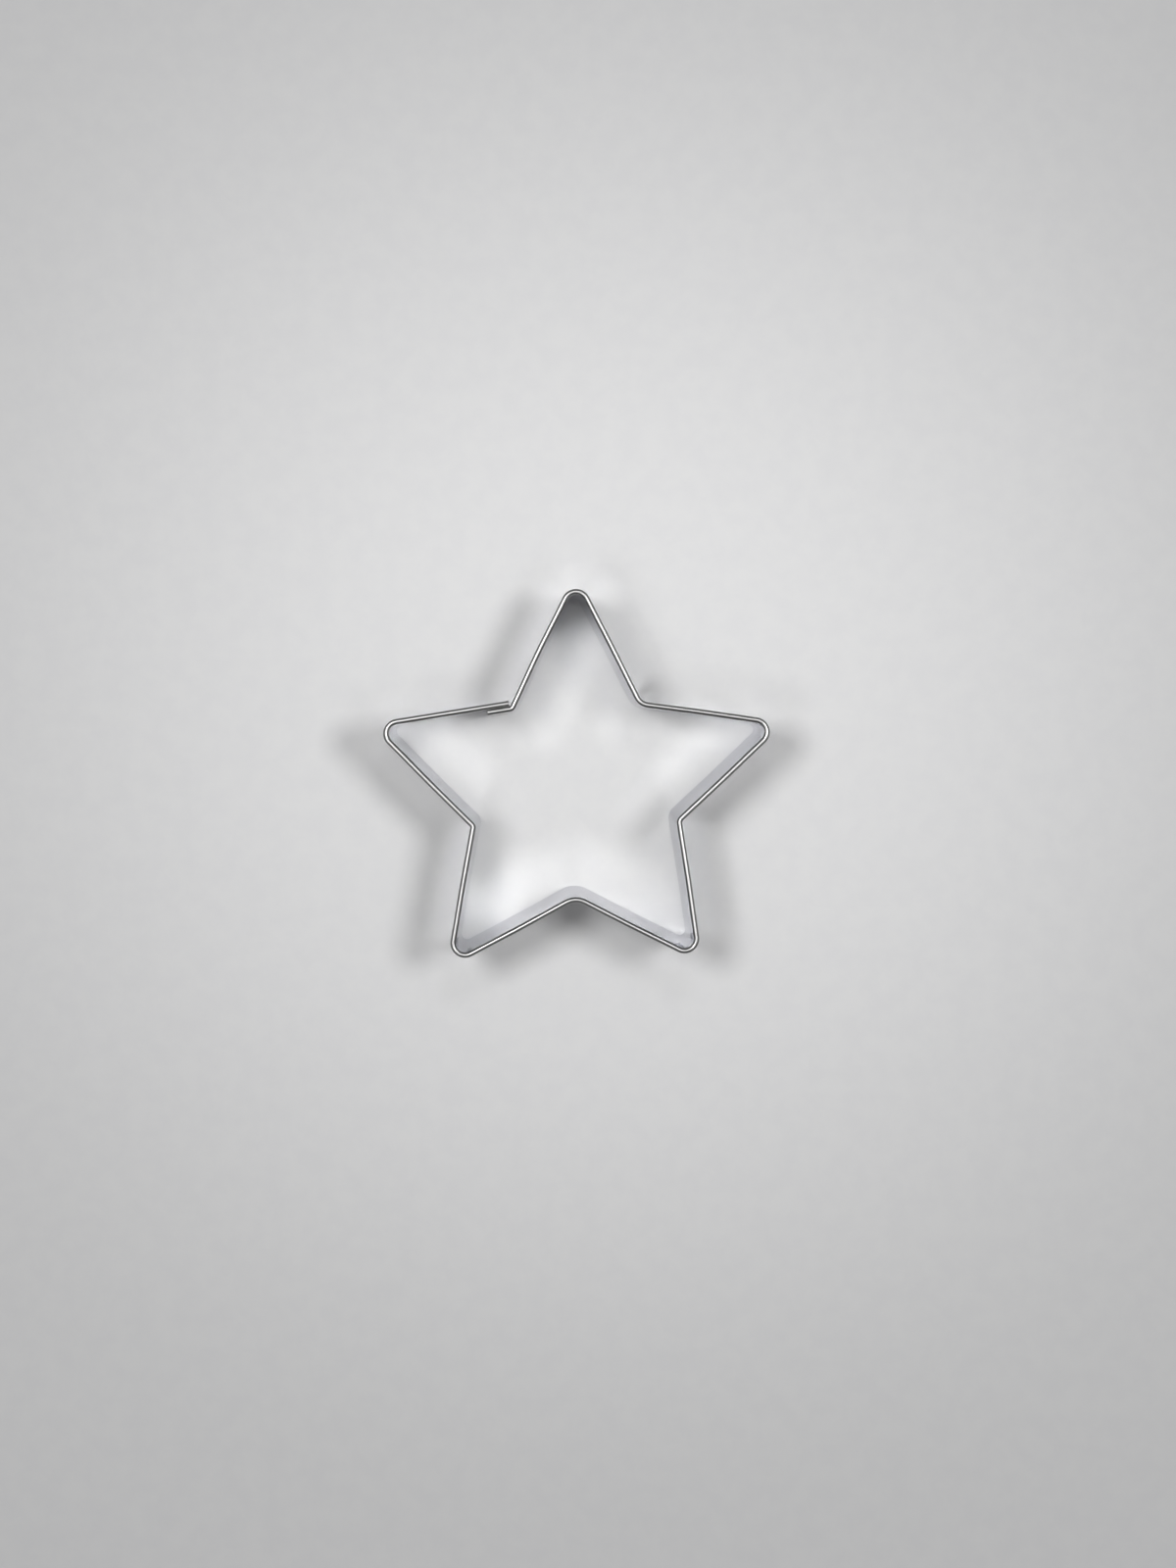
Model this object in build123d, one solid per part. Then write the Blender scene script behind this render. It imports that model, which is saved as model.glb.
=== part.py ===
from build123d import *
from math import acos, atan, cos, degrees, radians, sin, sqrt, tan
import os

# A star-shaped cookie cutter: a steel strip with a hemmed top, bent into a star, lapped and spot-welded.
# +Z is up from the cutting edge, +Y towards the star's top tip, +X towards its right tip.
# The origin is the centre of the plan's bounding box, on the surface that the cutting edge stands on.
# All lengths are in millimetres, and angles in degrees.

# The star's plan, on the rim's centre line. A sharp corner is where a bend's two straight sides would meet.
tip_reach = 38.7  # star's centre to a tip's sharp corner
notch_reach = 19.5  # star's centre to the sharp corner of a notch, between two tips
tip_inside_radius = 1.7  # of a tip's bend, on the inside of the rim
notch_inside_radius = 1.0  # of a notch's bend, on the inside of the rim

# The hand-bent star is uneven: its tips clockwise from the top, its notches from the one after the top tip.
tip_reach_shares = (1.0, 1.01, 0.983, 1.015, 1.0)
notch_reach_shares = (0.996, 0.994, 0.996, 1.015, 0.991)
notch_radius_shares = (2.1, 0.7, 3.1, 0.28, 0.28)
tip_turns = (-0.2, 0.0, 0.0, 0.0, -0.4)  # off an even spacing, clockwise
notch_turns = (0.6, -1.5, 0.4, -1.3, 0.6)

# The strip.
band_height = 22.0
sheet_thickness = 0.42
wall_lean = 1.8  # from upright, so that the cutting edge stands inside the rim all round
edge_round = 0.08  # at both corners of the cutting edge

# The hem: the sheet's top is turned outwards and down over itself, as a flattened teardrop.
hem_gap = 0.16  # clear width inside its crown
hem_foot_gap = 0.03  # clear width at its foot, between the folded leg and the wall
hem_depth = 3.0  # from the crown's top to the foot

# The lap, on the left arm's upper side, where it meets the last notch.
lap_clearance = 0.02  # between the two rims that lie side by side
lap_spread = 0.12  # that the inner end pushes the outer one out, along the side that rises to the top tip
lap_margin = 0.5  # of sheet beyond the weld dishes, at each end

# The spot welds in the lap, below the hem, and the dishes that bring the two walls together there.
weld_count = 3
weld_diameter = 2.0
weld_mark_depth = 0.06  # of the electrode's shallow round mark in each end of a weld
dish_floor_margin = 0.15  # of flat floor round a weld
dish_slope_run = 0.4  # from the floor's edge out to the flat wall
dish_seam_gap = 0.02  # between two dish floors, round the weld

rim_width = 2 * sheet_thickness + hem_gap
lap_pitch = rim_width + lap_clearance
dish_floor_radius = weld_diameter / 2 + dish_floor_margin
dish_mouth_radius = dish_floor_radius + dish_slope_run
lap_length = 2 * (dish_mouth_radius + lap_margin)
weld_half_length = dish_seam_gap / 2 + sheet_thickness

up = Vector(0, 0, 1)
tip_spacing = 360 / len(tip_reach_shares)


def polar(distance, clockwise):
    """A point at that distance from the star's centre, turned clockwise from the top tip's direction."""
    return Vector(distance * sin(radians(clockwise)), distance * cos(radians(clockwise)))


def outward(direction):
    """The side of a clockwise run that faces away from the star's inside."""
    return up.cross(direction)


def star_corners():
    """The sharp tips and the sharp notches, each list clockwise."""
    tips = [
        polar(tip_reach * share, tip_spacing * i + turn)
        for i, (share, turn) in enumerate(zip(tip_reach_shares, tip_turns))
    ]
    notches = [
        polar(notch_reach * share, tip_spacing * (i + 0.5) + turn)
        for i, (share, turn) in enumerate(zip(notch_reach_shares, notch_turns))
    ]
    return tips, notches


def strip_route():
    """The rim's centre line, clockwise from the lap's inner end to its outer one: points and bend radii.

    The lap is on the closing side, which runs from the last tip to the last notch, pushed out by the spread.
    The inner end lies one pitch inside that side, and its bend begins where the outer end stops.
    """
    tips, notches = star_corners()
    tip_radius = tip_inside_radius + rim_width / 2
    notch_radii = [notch_inside_radius * share + rim_width / 2 for share in notch_radius_shares]

    rising = (tips[0] - notches[-1]).normalized()
    outer_notch = notches[-1] + rising * lap_spread
    closing = (outer_notch - tips[-1]).normalized()
    aside = outward(closing)
    inner_notch = outer_notch - rising * (lap_pitch / rising.dot(aside))
    half_turn = acos(closing.dot(rising)) / 2
    bend_start = inner_notch - closing * (notch_radii[-1] * tan(half_turn))
    inner_end = bend_start - closing * lap_length
    outer_end = bend_start + aside * lap_pitch

    points, radii = [inner_end, inner_notch], [notch_radii[-1]]
    for tip, notch, notch_radius in zip(tips, notches, notch_radii):
        points += [tip, notch]
        radii += [tip_radius, notch_radius]
    points[-1] = outer_end
    return points, radii[:-1]


def leaning(angle):
    """The directions across and down a flat of the strip's section that leans inward by that angle."""
    return Vector(cos(angle), -sin(angle)), Vector(-sin(angle), -cos(angle))


def hem_lean():
    """How far the hem's straight leg leans towards the wall, to bring the foot within hem_foot_gap of it.

    With a crown of inner radius r and a leg of length L, the foot is r + r cos(lean) - L sin(lean) from the
    wall. The tangent of half the lean solves that.
    """
    leg = hem_depth - rim_width / 2
    closes = hem_gap - hem_foot_gap
    return 2 * atan(closes / (leg + sqrt(leg**2 + hem_foot_gap * closes)))


def strip_section():
    """The outline across the strip: X is outward from the rim's centre line, Y up from the cutting edge."""
    outer, inner = rim_width / 2, hem_gap / 2
    crown = Vector(0, band_height - outer)
    wall_across, wall_down = leaning(radians(wall_lean))
    leg_across, leg_down = leaning(radians(wall_lean) + hem_lean())

    wall_top, back_top = crown - wall_across * outer, crown - wall_across * inner
    edge_in, edge_out = [top - wall_down * (top.Y / wall_down.Y) for top in (wall_top, back_top)]
    skin_top, leg_top = crown + leg_across * outer, crown + leg_across * inner
    skin_foot, leg_foot = [top + leg_down * (hem_depth - outer) for top in (skin_top, leg_top)]
    foot_middle = (leg_foot + skin_foot) / 2 + leg_down * (sheet_thickness / 2)
    wall = FilletPolyline(wall_top, edge_in, edge_out, back_top, radius=edge_round)
    return make_face([
        *wall.edges(),
        ThreePointArc(back_top, crown + Vector(0, inner), leg_top),
        Line(leg_top, leg_foot),
        ThreePointArc(leg_foot, foot_middle, skin_foot),
        Line(skin_foot, skin_top),
        ThreePointArc(skin_top, crown + Vector(0, outer), wall_top),
    ])


def plain_strip():
    """The strip before its dishes: the section is run along each side and turned about each bend's axis."""
    points, radii = strip_route()
    section = strip_section()
    runs = []
    for edge in FilletPolyline(*points, radius=radii).edges():
        ahead = edge.tangent_at(0)
        placed = Plane(origin=edge.position_at(0), x_dir=outward(ahead), z_dir=ahead) * section
        if edge.geom_type == GeomType.LINE:
            runs.append(extrude(placed, amount=edge.length, dir=ahead))
        else:
            turns_left = ahead.cross(edge.tangent_at(1)).Z > 0
            bend_axis = Axis(edge.arc_center, up if turns_left else -up)
            runs.append(revolve(placed, axis=bend_axis, revolution_arc=degrees(edge.length / edge.radius)))
    return Part() + runs


def weld_planes():
    """A plane at each spot weld, from the lowest up, midway between the two walls. Its Z faces outward."""
    points, _ = strip_route()
    closing = (points[1] - points[0]).normalized()
    aside = outward(closing)
    across, down = [aside * way.X + up * way.Y for way in leaning(radians(wall_lean))]
    crown = points[0] + closing * (lap_length / 2) + up * (band_height - rim_width / 2)
    wall_middle = (sheet_thickness - rim_width) / 2  # of one wall, from its rim's centre line
    seam = crown + across * wall_middle + aside * (lap_pitch / 2)
    spacing = (band_height - hem_depth) / weld_count
    return [
        Plane(origin=seam + down * ((spacing * (i + 0.5) - seam.Z) / down.Z), x_dir=closing, z_dir=across)
        for i in range(weld_count)
    ]


def dish(side):
    """One wall pressed from its own plane to the seam, turned about Z. side is 1 outside, -1 inside."""
    wall_gap = (lap_pitch * cos(radians(wall_lean)) - sheet_thickness) / 2
    near = [(0, dish_seam_gap / 2), (dish_floor_radius, dish_seam_gap / 2), (dish_mouth_radius, wall_gap)]
    far = [(radius, height + sheet_thickness) for radius, height in reversed(near)]
    outline = Polyline(*[Vector(radius, side * height) for radius, height in near + far], close=True)
    return revolve(Plane.XZ * make_face(outline), axis=Axis.Z)


def cutter_band():
    """The strip with its dishes, and with the holes that the weld nuggets fill."""
    band = plain_strip()
    through = 2 * (lap_pitch + sheet_thickness)
    for plane in weld_planes():
        band -= plane * Cylinder(dish_mouth_radius, through)
        band += [plane * dish(side) for side in (1, -1)]
        band -= plane * Cylinder(weld_diameter / 2, through)
    return band


def spot_weld(plane):
    """One nugget through both dish floors, with the electrode's mark in each end."""
    mark_radius = (weld_diameter**2 / 4 + weld_mark_depth**2) / (2 * weld_mark_depth)
    mark_centre = weld_half_length - weld_mark_depth + mark_radius
    nugget = Cylinder(weld_diameter / 2, 2 * weld_half_length)
    return plane * (nugget - [Pos(0, 0, side * mark_centre) * Sphere(mark_radius) for side in (1, -1)])


nodes = {"cutter_band": cutter_band()}
for number, weld_plane in enumerate(weld_planes(), 1):
    nodes[f"spot_weld_{number}"] = spot_weld(weld_plane)

plan_centre = nodes["cutter_band"].bounding_box().center()
os.makedirs("parts", exist_ok=True)
for name, solid in nodes.items():
    export_step(Pos(-plan_centre.X, -plan_centre.Y, 0) * solid, f"parts/{name}.step")
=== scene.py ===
import math

import bpy
import numpy as np
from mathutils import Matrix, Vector


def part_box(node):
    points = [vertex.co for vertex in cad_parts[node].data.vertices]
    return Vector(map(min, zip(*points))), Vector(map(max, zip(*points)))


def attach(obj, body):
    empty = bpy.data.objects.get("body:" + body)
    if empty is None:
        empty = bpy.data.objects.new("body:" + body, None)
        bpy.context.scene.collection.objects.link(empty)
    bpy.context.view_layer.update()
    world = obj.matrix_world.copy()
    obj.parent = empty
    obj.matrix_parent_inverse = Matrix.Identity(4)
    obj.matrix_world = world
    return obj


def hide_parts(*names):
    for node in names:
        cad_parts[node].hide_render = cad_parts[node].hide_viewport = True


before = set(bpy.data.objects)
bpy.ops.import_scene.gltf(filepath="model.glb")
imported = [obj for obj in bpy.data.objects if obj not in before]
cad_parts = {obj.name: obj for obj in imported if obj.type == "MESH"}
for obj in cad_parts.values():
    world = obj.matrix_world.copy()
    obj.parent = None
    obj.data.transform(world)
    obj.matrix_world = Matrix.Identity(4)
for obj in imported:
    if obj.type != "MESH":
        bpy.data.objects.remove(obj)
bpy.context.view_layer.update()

mm = 0.001  # the dictionaries give millimetres and degrees, and the meshes are in metres

# The star's plan on the rim's centre line, clockwise: tips from the top one, notches from the one after it.
starPlan = {
    "tipReach": 38.693,  # a hair short, and the height too, so that the mesh keeps inside the solid's box
    "notchReach": 19.5,
    "tipShares": (1.0, 1.01, 0.983, 1.015, 1.0),
    "notchShares": (0.996, 0.994, 0.996, 1.015, 0.991),
    "tipTurns": (-0.2, 0.0, 0.0, 0.0, -0.4),
    "notchTurns": (0.6, -1.5, 0.4, -1.3, 0.6),
    "tipRadius": 1.7,  # on the inside of the rim
    "notchRadius": 1.0,
    "notchRadiusShares": (2.1, 0.7, 3.1, 0.28, 0.28),
}

strip = {
    "height": 21.999,
    "sheet": 0.42,
    "hemGap": 0.16,
    "footGap": 0.03,
    "hemDepth": 3.0,
    "wallLean": 1.8,  # from upright, the cutting edge standing inside the rim
    "edgeRound": 0.08,
    # outward at the middle of each side, clockwise from the lap's inner end
    "sideBow": (0.0, 0.16, 0.05, 0.06, 0.05, 0.06, 0.05, 0.07, 0.05, 0.06, 0.0),
    "runStep": 1.4,  # between columns on a plain side
    "bendColumns": 22,
    "lapStep": 0.16,  # between columns where the ends lap
    "wallStep": 0.6,  # between rows on the plain wall
    "weldStep": 0.16,  # between rows beside a weld
    "crownRows": 25,
    "legRows": 6,
    "footRows": 5,
    "footTurn": 80.0,  # how far round its end circle the foot's skin is drawn
}

lap = {
    "clearance": 0.02,
    "spread": 0.12,
    "margin": 0.5,
    "welds": 3,
    "weldDiameter": 2.0,
    "floorMargin": 0.15,
    "slopeRun": 0.4,
    "seamGap": 0.02,
    "markDepth": 0.06,
    "markEdge": 0.14,  # width of the pressed mark's rounded rim
    "markSink": 0.09,  # of the sheet's face under the weld's own surface
}

rimWidth = 2 * strip["sheet"] + strip["hemGap"]
lapPitch = rimWidth + lap["clearance"]
weldRadius = lap["weldDiameter"] / 2
dishMouth = weldRadius + lap["floorMargin"] + lap["slopeRun"]
lapLength = 2 * (dishMouth + lap["margin"])
weldSpacing = (strip["height"] - strip["hemDepth"]) / lap["welds"]
weldHeights = weldSpacing * (np.arange(lap["welds"]) + 0.5)
wallLean = math.radians(strip["wallLean"])
crownRadius = (rimWidth - strip["sheet"]) / 2  # of the middle of the sheet
crownHeight = strip["height"] - rimWidth / 2


def unit(vector):
    # v / |v|
    return vector / np.linalg.norm(vector, axis=-1, keepdims=True)


def leftOf(way):
    # (x, y) turned a quarter to the left, which on a clockwise route is away from the star's inside
    return np.stack([-way[..., 1], way[..., 0]], axis=-1)


def smoothStep(x):
    # 3 x^2 - 2 x^3, held at 0 below 0 and at 1 above 1
    x = np.clip(x, 0, 1)
    return x * x * (3 - 2 * x)


def polar(distance, clockwise):
    # r (sin a, cos a), a being clockwise from the top tip's direction
    return distance * np.array([math.sin(math.radians(clockwise)), math.cos(math.radians(clockwise))])


def stripRoute():
    # Corner points and bend radii of the rim's centre line, clockwise from the lap's inner end to its outer
    # one. The inner end lies one lap pitch inside the last side, and its bend begins where the outer end
    # stops.
    step = 360 / len(starPlan["tipShares"])
    tips = [polar(starPlan["tipReach"] * share, step * i + turn)
            for i, (share, turn) in enumerate(zip(starPlan["tipShares"], starPlan["tipTurns"]))]
    notches = [polar(starPlan["notchReach"] * share, step * (i + 0.5) + turn)
               for i, (share, turn) in enumerate(zip(starPlan["notchShares"], starPlan["notchTurns"]))]
    tipRadius = starPlan["tipRadius"] + rimWidth / 2
    notchRadii = [starPlan["notchRadius"] * share + rimWidth / 2
                  for share in starPlan["notchRadiusShares"]]
    rising = unit(tips[0] - notches[-1])
    outerNotch = notches[-1] + rising * lap["spread"]
    closing = unit(outerNotch - tips[-1])
    aside = leftOf(closing)
    innerNotch = outerNotch - rising * lapPitch / (rising @ aside)
    bendStart = innerNotch - closing * notchRadii[-1] * math.tan(math.acos(closing @ rising) / 2)
    points, radii = [bendStart - closing * lapLength, innerNotch], [notchRadii[-1]]
    for tip, notch, notchRadius in zip(tips, notches, notchRadii):
        points += [tip, notch]
        radii += [tipRadius, notchRadius]
    points[-1] = bendStart + aside * lapPitch
    return np.array(points), radii[:-1]


def routeColumns():
    # A bend of radius R that turns by a starts R tan(a/2) before its corner and swings R (cos t, sin t)
    # about its centre. A side is straight but for a bow of b sin^2(pi s) along its normal, s going from 0 to
    # 1 along it.
    points, radii = stripRoute()
    ways = unit(np.diff(points, axis=0))
    before, after = ways[:-1], ways[1:]
    crossed = before[:, 0] * after[:, 1] - before[:, 1] * after[:, 0]
    turns = np.arctan2(crossed, np.sum(before * after, axis=1))
    cuts = np.concatenate([[0], np.array(radii) * np.tan(np.abs(turns) / 2), [0]])
    places, sides = [], []
    for i, way in enumerate(ways):
        start, end = points[i] + way * cuts[i], points[i + 1] - way * cuts[i + 1]
        length = np.linalg.norm(end - start)
        lapAtEnd = i == len(ways) - 1
        fineFrom = length
        if i == 0:
            fineFrom = 0
        elif lapAtEnd:
            fineFrom = length - lapLength
        along = np.linspace(0, fineFrom, int(fineFrom / strip["runStep"]) + 2)[:-1]
        fine = np.linspace(fineFrom, length, int((length - fineFrom) / strip["lapStep"]) + 1)
        along = np.concatenate([along, fine]) if fineFrom > 0 else fine
        s, bow, side = along / length, strip["sideBow"][i], leftOf(way)
        places.append(start + along[:, None] * way + bow * np.sin(np.pi * s)[:, None] ** 2 * side)
        sides.append(unit(side - bow * np.pi / length * np.sin(2 * np.pi * s)[:, None] * way))
        if not lapAtEnd:
            inward = side * np.sign(turns[i])
            swing = np.linspace(0, turns[i], strip["bendColumns"])[1:-1, None]
            spoke = -inward * radii[i]
            turned = spoke * np.cos(swing) + leftOf(spoke) * np.sin(swing)
            places.append(end + inward * radii[i] + turned)
            sides.append(-np.sign(turns[i]) * unit(turned))
    places, sides = np.concatenate(places), np.concatenate(sides)
    travelled = np.concatenate([[0], np.cumsum(np.linalg.norm(np.diff(places, axis=0), axis=1))])
    return places, sides, travelled


def leaning(angle):
    # directions across and down a flat of the strip's section that leans inward by the angle a:
    # (cos a, -sin a) and (-sin a, -cos a)
    return np.array([math.cos(angle), -math.sin(angle)]), np.array([-math.sin(angle), -math.cos(angle)])


def wallRows():
    # heights up the wall, close together beside each weld, and e (1 - cos t) at the cutting edge's round
    marks = [2 * strip["edgeRound"]]
    for height in weldHeights:
        marks += [height - dishMouth, height + dishMouth]
    marks.append(crownHeight + crownRadius * math.sin(wallLean))
    quarter = np.linspace(0, np.pi / 2, strip["footRows"])
    rows = [strip["edgeRound"] * (1 - np.cos(quarter))]
    for k, (low, high) in enumerate(zip(marks[:-1], marks[1:])):
        step = strip["weldStep"] if k % 2 else strip["wallStep"]
        rows.append(np.linspace(low, high, max(3, int((high - low) / step) + 1))[:-1])
    return np.concatenate(rows)


def sheetProfile():
    # The middle of the sheet as (x, z), with its normal and its half thickness. The wall leans by a, the
    # crown is (-m cos t, c + m sin t) for t from -a to pi + b, and the leg goes on straight to its foot,
    # leaning by b. The half thickness falls off as a circle at the cutting edge's corners and at the foot.
    half, edge = strip["sheet"] / 2, strip["edgeRound"]
    legLength = strip["hemDepth"] - rimWidth / 2
    closes = strip["hemGap"] - strip["footGap"]
    legReach = math.sqrt(legLength ** 2 + strip["footGap"] * closes)
    legLean = wallLean + 2 * math.atan(closes / (legLength + legReach))

    z = wallRows()
    across, down = leaning(wallLean)
    wallTop = [0, crownHeight] - crownRadius * across
    wall = np.tile(np.concatenate([wallTop, [-1 / across[0], 0]]), (len(z), 1))
    wall[:, :2] += (z - wall[:, 1])[:, None] / down[1] * down
    wallHalf = half - edge + edge * np.sqrt(1 - np.clip((edge - z) / edge, 0, 1) ** 2)

    t = np.linspace(-wallLean, np.pi + legLean, strip["crownRows"])
    normal = np.stack([-np.cos(t), np.sin(t)], axis=1)
    crown = np.concatenate([[0, crownHeight] + crownRadius * normal, normal], axis=1)

    swing = np.linspace(0, math.radians(strip["footTurn"]), strip["footRows"])
    straight = np.linspace(0, legLength, strip["legRows"])[1:-1]
    fall = np.concatenate([straight, legLength + half * np.sin(swing)])
    leg = np.tile(crown[-1], (len(fall), 1))
    leg[:, :2] += fall[:, None] * leaning(legLean)[1]
    legHalf = np.concatenate([np.full(len(straight), half), half * np.cos(swing)])

    rows = np.concatenate([wall, crown, leg])
    halves = np.concatenate([wallHalf, np.full(len(crown), half), legHalf])
    return rows, halves, len(wall)


def solidFrom(name, verts, faces, flatFaces=0, uvs=None, attributes=None):
    # quads and triangles as one array of four indices, a triangle's last being -1, and flat faces come last
    verts = (np.asarray(verts) + shift) * mm
    sizes = np.where(faces[:, 3] < 0, 3, 4)
    corners = faces.ravel()[faces.ravel() >= 0]
    mesh = bpy.data.meshes.new(name)
    mesh.vertices.add(len(verts))
    mesh.vertices.foreach_set("co", verts.astype(np.float32).ravel())
    mesh.loops.add(len(corners))
    mesh.loops.foreach_set("vertex_index", corners.astype(np.int32))
    mesh.polygons.add(len(sizes))
    mesh.polygons.foreach_set("loop_start", np.concatenate([[0], np.cumsum(sizes)[:-1]]).astype(np.int32))
    mesh.polygons.foreach_set("use_smooth", np.arange(len(sizes)) < len(sizes) - flatFaces)
    mesh.update(calc_edges=True)
    if uvs is not None:
        mesh.uv_layers.new(name="stripMap").data.foreach_set("uv", (uvs * mm).astype(np.float32).ravel())
    for key, values in (attributes or {}).items():
        layer = mesh.attributes.new(key, "FLOAT", "POINT")
        layer.data.foreach_set("value", values.astype(np.float32).ravel())
    piece = bpy.data.objects.new(name, mesh)
    bpy.context.scene.collection.objects.link(piece)
    print(name, "has", len(verts), "vertices and", len(sizes), "faces")
    return piece


def bandSurface():
    # P(u, v) = route(u) + (x(v) + dish(u, v)) side(u), at height z(v). The sheet's skin and back stand half
    # a thickness either side of it. A dish presses each lapped wall to the seam by its depth times
    # smoothStep((mouth - r) / run), r being the distance from the nearest weld's axis.
    places, sides, travelled = routeColumns()
    rows, halves, wallCount = sheetProfile()
    points, _ = stripRoute()
    closing = unit(points[1] - points[0])
    fromAxis = places - (points[0] + closing * lapLength / 2)
    along, aside = fromAxis @ closing, fromAxis @ leftOf(closing)
    near = np.abs(along) < lapLength / 2 + strip["lapStep"] / 2
    onWall = lapPitch / 3  # a column this near a lapped wall's centre line is on it
    press = np.where(near & (np.abs(aside) < onWall), 1, 0)
    press = np.where(near & (np.abs(aside - lapPitch) < onWall), -1, press)[:, None]

    # rows past the wall, and columns off the lap, count as far from every weld
    heights = np.where(np.arange(len(rows)) < wallCount, rows[:, 1], 2 * strip["height"])
    reach = np.hypot(along[:, None, None], heights[None, :, None] - weldHeights).min(axis=2)
    reach = np.where(press == 0, strip["height"], reach)
    depth = (lapPitch - (strip["sheet"] + lap["seamGap"]) / math.cos(wallLean)) / 2
    dish = press * depth * smoothStep((dishMouth - reach) / lap["slopeRun"])
    # the electrode's mark is only in the face that shows, and a weld's own surface fills it
    mark = lap["markSink"] * smoothStep((weldRadius - reach) / lap["markEdge"]) * press

    faces = []
    for face in (1, -1):  # the skin, then the back
        across = rows[:, 0] + face * halves * rows[:, 2] + dish + np.where(press == face, mark, 0)
        up = rows[:, 1] + face * halves * rows[:, 3]
        flat = places[:, None] + across[..., None] * sides[:, None]
        level = np.broadcast_to(up[None, :, None], flat.shape[:2] + (1,))
        faces.append(np.concatenate([flat, level], axis=2))
    ring = np.concatenate([faces[0], faces[1][:, ::-1]], axis=1)
    reachRing = np.concatenate([reach, reach[:, ::-1]], axis=1)
    climbed = np.concatenate([[0], np.cumsum(np.linalg.norm(np.diff(rows[:, :2], axis=0), axis=1))])
    fromCrown = np.abs(climbed - climbed[rows[:, 1].argmax()])
    crownRing = np.broadcast_to(np.concatenate([fromCrown, fromCrown[::-1]]), reachRing.shape)
    return ring, reachRing, crownRing, travelled, climbed


def cornerUv(left, right, low, high):
    # a map's corners for quads whose points go up the left side and down the right one
    return np.stack([np.stack([left, low], axis=1), np.stack([left, high], axis=1),
                     np.stack([right, high], axis=1), np.stack([right, low], axis=1)], axis=1)


def makeBand():
    # Quads join each column's ring of points to the next one's. The strip map's u is the distance along the
    # route, and v the distance round the section.
    ring, reach, fromCrown, travelled, climbed = bandSurface()
    columns, around, _ = ring.shape
    half = around // 2
    i, j = np.meshgrid(np.arange(columns - 1), np.arange(around), indexing="ij")
    i, j = i.ravel(), j.ravel()
    after = (j + 1) % around
    here, ahead = i * around, (i + 1) * around
    quads = np.stack([here + j, here + after, ahead + after, ahead + j], axis=1)
    # each end is a strip of quads between the skin and the back
    k = np.arange(half - 1)
    endCap = np.stack([k, k + 1, around - 2 - k, around - 1 - k], axis=1)
    last = (columns - 1) * around
    faces = np.concatenate([quads, endCap, endCap[:, ::-1] + last])

    v = np.concatenate([climbed, 2 * climbed[-1] - climbed[::-1], [2 * climbed[-1] + strip["sheet"]]])
    quadUv = cornerUv(travelled[i], travelled[i + 1], v[j], v[j + 1])
    capUv = cornerUv(np.zeros(len(k)), np.full(len(k), strip["sheet"]), v[k], v[k + 1])
    uvs = np.concatenate([quadUv, capUv, capUv[:, ::-1]])
    return solidFrom("star_band", ring.reshape(-1, 3), faces, 2 * len(endCap), uvs,
                     {"fromWeld": reach, "fromCrown": fromCrown})


weldButton = {
    "rings": 14,
    "spokes": 56,
    "lip": 0.025,  # squeezed up round the electrode's mark
    "lipWidth": 0.12,
    "sink": 0.03,  # how far the button's side goes into the wall
}


def makeWeld(number, height):
    # Turned about the weld's axis: a radius r from 0 to R, and on both ends the height
    # H - d (1 - (r / R)^2) + lip exp(-((r - R + w) / w)^2), H being the dished wall's face.
    points, _ = stripRoute()
    rows, _, wallCount = sheetProfile()
    wall = rows[:wallCount]
    closing = unit(points[1] - points[0])
    aside = leftOf(closing)
    seam = np.interp(height, wall[:, 1], wall[:, 0]) + lapPitch / 2
    centre = np.append(points[0] + closing * lapLength / 2 + aside * seam, height)
    axis = np.append(aside * math.cos(wallLean), -math.sin(wallLean))
    upright = np.append(aside * math.sin(wallLean), math.cos(wallLean))
    face = lap["seamGap"] / 2 + strip["sheet"]
    r = np.linspace(0, weldRadius, weldButton["rings"])[1:]
    w = weldButton["lipWidth"]
    h = face - lap["markDepth"] * (1 - (r / weldRadius) ** 2)
    h += weldButton["lip"] * np.exp(-((r - weldRadius + w) / w) ** 2)
    r = np.concatenate([r, [weldRadius + lap["markEdge"] / 2]])
    h = np.concatenate([h, [face - weldButton["sink"]]])
    r, h = np.concatenate([r, r[::-1]]), np.concatenate([h, -h[::-1]])
    turn = np.linspace(0, 2 * np.pi, weldButton["spokes"], endpoint=False)
    spoke = np.cos(turn)[:, None] * np.append(closing, 0) + np.sin(turn)[:, None] * upright
    verts = centre + r[:, None, None] * spoke + h[:, None, None] * axis
    poles = centre + np.array([[1], [-1]]) * (face - lap["markDepth"]) * axis
    rings, spokes = len(r), len(turn)
    i, j = np.meshgrid(np.arange(rings - 1), np.arange(spokes), indexing="ij")
    i, j, after = i.ravel(), j.ravel(), (j.ravel() + 1) % spokes
    here, ahead = i * spokes, (i + 1) * spokes
    quads = np.stack([here + j, ahead + j, ahead + after, here + after], axis=1)
    j = np.arange(spokes)
    after, none = (j + 1) % spokes, np.full(spokes, -1)
    top = np.stack([np.full(spokes, rings * spokes), j, after, none], axis=1)
    last = (rings - 1) * spokes
    bottom = np.stack([np.full(spokes, rings * spokes + 1), last + after, last + j, none], axis=1)
    radii = np.concatenate([np.repeat(r, spokes), [0, 0]])
    return solidFrom(f"weld_button_{number}", np.concatenate([verts.reshape(-1, 3), poles]),
                     np.concatenate([quads, top, bottom]), attributes={"fromWeld": radii})


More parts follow.
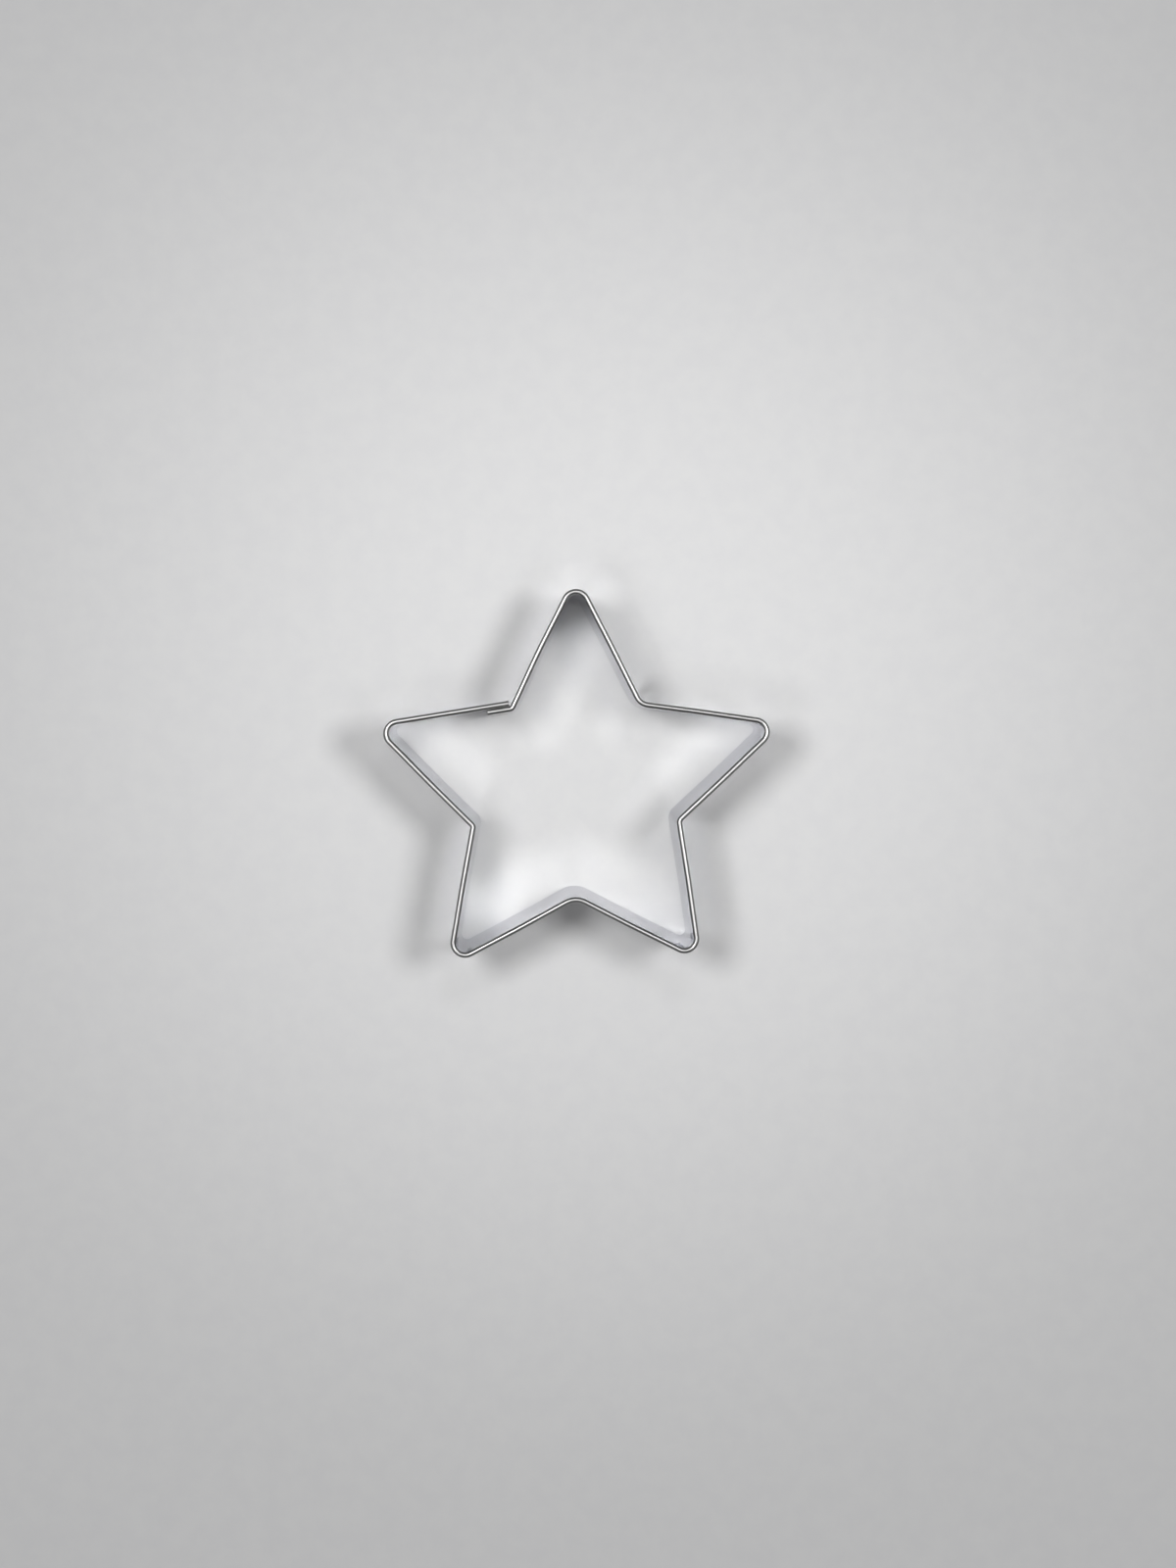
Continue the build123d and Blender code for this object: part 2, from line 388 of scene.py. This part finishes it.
# The plan is drawn about the star's centre, and the frame's origin is the middle of the plan's box.
shift = np.zeros(3)
bandRing = bandSurface()[0]
planLow, planHigh = bandRing[..., :2].min(axis=(0, 1)), bandRing[..., :2].max(axis=(0, 1))
low, high = (np.array(corner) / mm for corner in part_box("cutter_band"))
shift[:2] = (low[:2] + high[:2]) / 2 - (planLow + planHigh) / 2
print("star centre in the frame, mm:", shift)

band = makeBand()
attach(band, "root")
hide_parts("cutter_band")
welds = []
for number, height in enumerate(weldHeights, 1):
    button = makeWeld(number, height)
    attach(button, "root")
    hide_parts(f"spot_weld_{number}")
    welds.append(button)
print("steel pieces done")


class Val:
    # one shader socket, on which Python's operators add Math nodes
    def __init__(self, tree, socket):
        self.tree = tree
        self.socket = socket

    def math(self, operation, first, second):
        node = self.tree.nodes.new("ShaderNodeMath")
        node.operation = operation
        plug(self.tree, node.inputs[0], first)
        plug(self.tree, node.inputs[1], second)
        return Val(self.tree, node.outputs[0])

    def __add__(self, other):
        return self.math("ADD", self, other)

    def __radd__(self, other):
        return self.math("ADD", other, self)

    def __rsub__(self, other):
        return self.math("SUBTRACT", other, self)

    def __mul__(self, other):
        return self.math("MULTIPLY", self, other)

    def __rmul__(self, other):
        return self.math("MULTIPLY", other, self)


def plug(tree, slot, value):
    if isinstance(value, Val):
        tree.links.new(value.socket, slot)
    else:
        slot.default_value = value


class Nodes:
    # the node tree of a material or of the world, emptied first
    def __init__(self, owner):
        owner.use_nodes = True
        self.tree = owner.node_tree
        self.tree.nodes.clear()

    def node(self, kind, settings=None, sockets=None, output=0):
        # kind without its ShaderNode prefix, settings set first, then sockets by name or index
        made = self.tree.nodes.new("ShaderNode" + kind)
        for key, value in (settings or {}).items():
            setattr(made, key, value)
        for key, value in (sockets or {}).items():
            plug(self.tree, made.inputs[key], value)
        return Val(self.tree, made.outputs[output]) if made.outputs else None

    def ramp(self, factor, low, high):
        # 0 below low, 1 above high, smooth between
        return self.node("MapRange", {"interpolation_type": "SMOOTHSTEP"},
                         {"Value": factor, "From Min": low, "From Max": high})

    def mix(self, factor, first, second):
        return self.node("Mix", {"data_type": "RGBA"}, {0: factor, 6: first, 7: second}, output=2)

    def noise(self, vector, scale, detail, roughness):
        return self.node("TexNoise", {"noise_dimensions": "3D"},
                         {"Vector": vector, "Scale": scale, "Detail": detail, "Roughness": roughness})

    def objectPlace(self):
        return self.node("TexCoord", output=3)

    def attribute(self, name):
        return self.node("Attribute", {"attribute_name": name}, output=2)

    def bump(self, height, strength, depth):
        return self.node("Bump", {}, {"Strength": strength, "Distance": depth * mm, "Height": height})

    def surface(self, sockets):
        self.node("OutputMaterial", {}, {"Surface": self.node("BsdfPrincipled", {}, sockets)})


# Pairs are where something starts and where it is full.
steelLook = {
    "colour": (0.62, 0.62, 0.62, 1),
    "worn": (0.57, 0.57, 0.57, 1),
    "wornRange": (0.35, 0.75),  # of smears and grain taken together
    "smearShare": 0.6,
    "crown": (0.385, 0.385, 0.38, 1),  # painted shade: the fold's top is darker so that its highlight is dimmer
    "crownRange": (0.35, 0.9),  # from the fold's top, along the sheet
    "grazing": (0.785, 0.79, 0.825, 1),  # share of the grazing reflection that the metal keeps
    "straw": (0.60, 0.50, 0.36, 1),  # heat tint round a weld
    "strawShare": 0.55,
    "heatInside": 0.9,  # of a weld's radius
    "heatPast": 0.5,  # beyond the dish's mouth
    "heatLeast": 0.6,
    "heatMottle": 0.8,
    "heatRoughness": 0.1,
    "roughness": 0.03,
    "grainRoughness": 0.03,
    "grainRange": (0.3, 0.75),
    "smearRoughness": 0.02,
    "smearRange": (0.4, 0.7),
    "crownRoughness": 0.3,
    "grainAcross": 9000.0,  # streaks per metre up the wall
    "grainAlong": 160.0,
    "grainBump": 0.12,
    "grainDepth": 0.02,
    "smearScale": 70.0,
}


def stripSteel():
    look = steelLook
    material = bpy.data.materials.new("rolled_stainless")
    nodes = Nodes(material)
    stretch = nodes.node("VectorMath", {"operation": "MULTIPLY"},
                         {0: nodes.node("UVMap", {"uv_map": "stripMap"}),
                          1: (look["grainAlong"], look["grainAcross"], 0)})
    grain = nodes.noise(stretch, scale=1.0, detail=4.0, roughness=0.6)
    smear = nodes.noise(nodes.objectPlace(), look["smearScale"], detail=3.0, roughness=0.55)
    # the fold's top: its darker colour is painted shade that dims the rim's highlight, and its higher
    # roughness is the stretched skin's
    crown = 1 - nodes.ramp(nodes.attribute("fromCrown"), *look["crownRange"])
    heat = 1 - nodes.ramp(nodes.attribute("fromWeld"), weldRadius * look["heatInside"],
                          dishMouth + look["heatPast"])
    heat = heat * (look["heatLeast"] + look["heatMottle"] * smear)

    wear = smear * look["smearShare"] + grain * (1 - look["smearShare"])
    colour = nodes.mix(nodes.ramp(wear, *look["wornRange"]), look["colour"], look["worn"])
    # painted shade: the darker colour at the fold's top dims its highlight
    colour = nodes.mix(crown, colour, look["crown"])
    colour = nodes.mix(heat * look["strawShare"], colour, look["straw"])

    rough = look["roughness"] + look["grainRoughness"] * nodes.ramp(grain, *look["grainRange"])
    rough = rough + look["smearRoughness"] * nodes.ramp(smear, *look["smearRange"])
    rough = rough + (look["crownRoughness"] - look["roughness"]) * crown
    nodes.surface({
        "Base Color": colour,
        "Metallic": 1.0,
        "Roughness": rough + heat * look["heatRoughness"],
        "Normal": nodes.bump(grain, look["grainBump"], look["grainDepth"]),
        "Specular Tint": look["grazing"],
    })
    return material


weldLook = {
    "colour": (0.50, 0.49, 0.49, 1),
    "blue": (0.42, 0.44, 0.55, 1),  # at the button's rim
    "blueRange": (0.45, 0.95),  # of its radius
    "straw": (0.60, 0.50, 0.36, 1),
    "strawShare": 0.5,
    "strawRange": (0.4, 0.7),
    "cloudScale": 900.0,
    "pitScale": 2600.0,
    "pitRange": (0.35, 0.7),
    "pitBump": 0.5,
    "pitDepth": 0.03,
    "pitRoughness": 0.15,
    "roughness": 0.28,
}


def weldSteel():
    look = weldLook
    material = bpy.data.materials.new("pressed_weld")
    nodes = Nodes(material)
    where = nodes.objectPlace()
    pits = nodes.noise(where, look["pitScale"], detail=4.0, roughness=0.6)
    cloud = nodes.noise(where, look["cloudScale"], detail=3.0, roughness=0.6)
    blueFrom, blueTo = look["blueRange"]
    rim = nodes.ramp(nodes.attribute("fromWeld"), weldRadius * blueFrom, weldRadius * blueTo)
    straw = look["strawShare"] * nodes.ramp(cloud, *look["strawRange"])
    colour = nodes.mix(rim, look["colour"], look["blue"])
    nodes.surface({
        "Base Color": nodes.mix(straw, colour, look["straw"]),
        "Metallic": 1.0,
        "Roughness": look["roughness"] + look["pitRoughness"] * nodes.ramp(pits, *look["pitRange"]),
        "Normal": nodes.bump(pits, look["pitBump"], look["pitDepth"]),
    })
    return material


band.data.materials.append(stripSteel())
weldMaterial = weldSteel()
for button in welds:
    button.data.materials.append(weldMaterial)
print("materials done")

table = {
    "half": 1500.0,
    "colour": (0.735, 0.735, 0.735, 1),
    "fleck": (0.715, 0.715, 0.72, 1),
    "fleckScale": 240.0,
    "fleckRange": (0.3, 0.7),
    # painted shade: the board darkens away from a centre, standing in for the lamps' fall-off
    "shadeCentre": (8.0, 22.0, 0.0),
    "shadeRadius": 170.0,
    "paintedShade": 0.265,  # share of its paleness that the board loses by that radius, as painted shade
    "shadeColour": (0, 0, 0, 1),
    "roughness": 0.85,
    "gloss": 0.25,
}


def makeTable():
    # a square under the cutter, its paleness falling by a smooth step of the distance from a centre: painted
    # shade for the lamps' fall-off
    h = table["half"] * mm
    mesh = bpy.data.meshes.new("table_top")
    mesh.from_pydata([(-h, -h, 0), (h, -h, 0), (h, h, 0), (-h, h, 0)], [], [(0, 1, 2, 3)])
    top = bpy.data.objects.new("table_top", mesh)
    bpy.context.scene.collection.objects.link(top)

    board = bpy.data.materials.new("matt_board")
    nodes = Nodes(board)
    where = nodes.objectPlace()
    fleck = nodes.noise(where, table["fleckScale"], detail=4.0, roughness=0.6)
    colour = nodes.mix(nodes.ramp(fleck, *table["fleckRange"]), table["colour"], table["fleck"])
    apart = nodes.node("VectorMath", {"operation": "DISTANCE"},
                       {0: where, 1: [part * mm for part in table["shadeCentre"]]}, output=1)
    # painted shade, darker further from the centre
    paintedShade = table["paintedShade"] * nodes.ramp(apart, 0, table["shadeRadius"] * mm)
    nodes.surface({
        "Base Color": nodes.mix(paintedShade, colour, table["shadeColour"]),
        "Roughness": table["roughness"],
        "Specular IOR Level": table["gloss"],
    })
    mesh.materials.append(board)


makeTable()
print("table done")

# Round lamps over the table, each by the direction it stands in, seen from the star. Strength is radiance.
lamps = {
    "left": {"azimuth": 155, "elevation": 71.5, "radius": 72, "strength": 24.8},
    "right": {"azimuth": 14, "elevation": 67.2, "radius": 67, "strength": 24.2},
    "back": {"azimuth": 80, "elevation": 68.0, "radius": 40, "strength": 12.5},
    "frontLeft": {"azimuth": 217, "elevation": 69.0, "radius": 67, "strength": 6.0},
    "frontRight": {"azimuth": 323, "elevation": 70.3, "radius": 38, "strength": 8.5},
}
lampDistance = 550.0  # from the star to every lamp


def makeLamp(name, lampLook):
    # a disc's power is its radiance times pi times its area
    lamp = bpy.data.lights.new(name, "AREA")
    lamp.shape = "DISK"
    lamp.size = 2 * lampLook["radius"] * mm
    lamp.energy = lampLook["strength"] * math.pi * math.pi * (lamp.size / 2) ** 2
    holder = bpy.data.objects.new(name, lamp)
    around, above = math.radians(lampLook["azimuth"]), math.radians(lampLook["elevation"])
    level = math.cos(above)
    way = Vector((level * math.cos(around), level * math.sin(around), math.sin(above)))
    holder.location = way * lampDistance * mm
    holder.rotation_euler = way.to_track_quat("Z", "Y").to_euler()
    bpy.context.scene.collection.objects.link(holder)


roomLight = {
    "horizon": (0.015, 0.015, 0.016, 1),
    "horizonHeight": 0.1,  # of a unit vector's upward part, where the room starts to brighten
    "sky": (0.17, 0.17, 0.174, 1),
    "skyHeight": 0.8,
}


def makeRoom():
    world = bpy.data.worlds.new("studio_room")
    bpy.context.scene.world = world
    nodes = Nodes(world)
    height = nodes.node("SeparateXYZ", {}, {0: nodes.node("TexCoord")}, output=2)
    climb = nodes.node("MapRange", {}, {"Value": height, "From Min": roomLight["horizonHeight"],
                                        "From Max": roomLight["skyHeight"]})
    colour = nodes.mix(climb, roomLight["horizon"], roomLight["sky"])
    nodes.node("OutputWorld", {}, {"Surface": nodes.node("Background", {}, {"Color": colour})})


for name, lampLook in lamps.items():
    makeLamp(name, lampLook)
makeRoom()
print("light done")

# The camera looks straight down. Pixels are in the photograph's 1200 x 1600 frame.
photoView = {
    "frame": (1200, 1600),
    "starPixel": (588.2, 806.3),  # the star's centre, at the rim
    "belowPixel": (542.0, 666.0),  # the point straight below the camera
    "rimScale": 5.64,  # pixels per millimetre at the rim's height
    "cameraHeight": 665.0,
    "sensor": 36.0,
    "clip": (10.0, 20000.0),
}


def makeCamera():
    # The focal length in pixels is the rim's scale times the camera's height over it. A shift of the lens
    # puts the point below the camera in its pixel, so that the camera needs no tilt.
    wide, tall = photoView["frame"]
    star, below = photoView["starPixel"], photoView["belowPixel"]
    scale, sensor = photoView["rimScale"], photoView["sensor"]
    focal = scale * (photoView["cameraHeight"] - strip["height"])
    cam = bpy.data.cameras.new("photo_camera")
    cam.sensor_width = sensor
    cam.lens = focal * sensor / tall
    cam.shift_x = (wide / 2 - below[0]) / tall
    cam.shift_y = (below[1] - tall / 2) / tall
    cam.clip_start, cam.clip_end = (reach * mm for reach in photoView["clip"])
    holder = bpy.data.objects.new("photo_camera", cam)
    x = shift[0] + (below[0] - star[0]) / scale
    y = shift[1] - (below[1] - star[1]) / scale
    holder.location = (x * mm, y * mm, photoView["cameraHeight"] * mm)
    bpy.context.scene.collection.objects.link(holder)
    bpy.context.scene.camera = holder


makeCamera()
bpy.context.scene.view_settings.view_transform = "Standard"
bpy.context.scene.cycles.blur_glossy = 0  # keeps the light crisp that the walls throw on the table
print("camera done")
